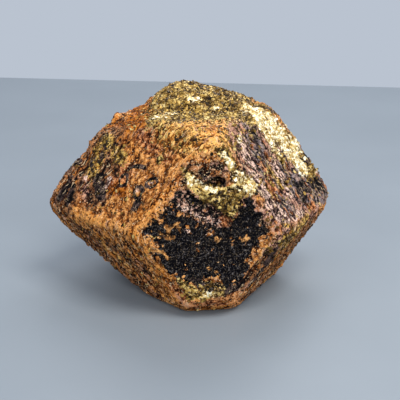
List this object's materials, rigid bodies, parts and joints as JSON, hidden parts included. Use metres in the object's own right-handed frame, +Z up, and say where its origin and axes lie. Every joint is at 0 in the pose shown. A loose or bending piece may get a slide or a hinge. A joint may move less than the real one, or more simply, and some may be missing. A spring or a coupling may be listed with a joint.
{
  "type": "rough garnet crystal specimen",
  "caption": "Rough dodecahedral garnet crystal with a crust of rust and mica, a bare dark face and a low mica mound on top, lying on one flat face.",
  "frame": {"origin": "bottom centre of the bounding box, in the plane of the resting face", "axes": "+Z up, +X to the right when the bare dark face is in front, the viewer looks along +Y; the longest extent, from the left tip to the right tip, is along X"},
  "size_m": [0.0494, 0.037, 0.0348],
  "materials": {
    "crusted_garnet": "rough crust of orange-brown iron staining, pale gold mica grains and dark bare garnet"
  },
  "bodies": {
    "root": {"garnet_crystal": "crusted_garnet"}
  },
  "joints": []
}
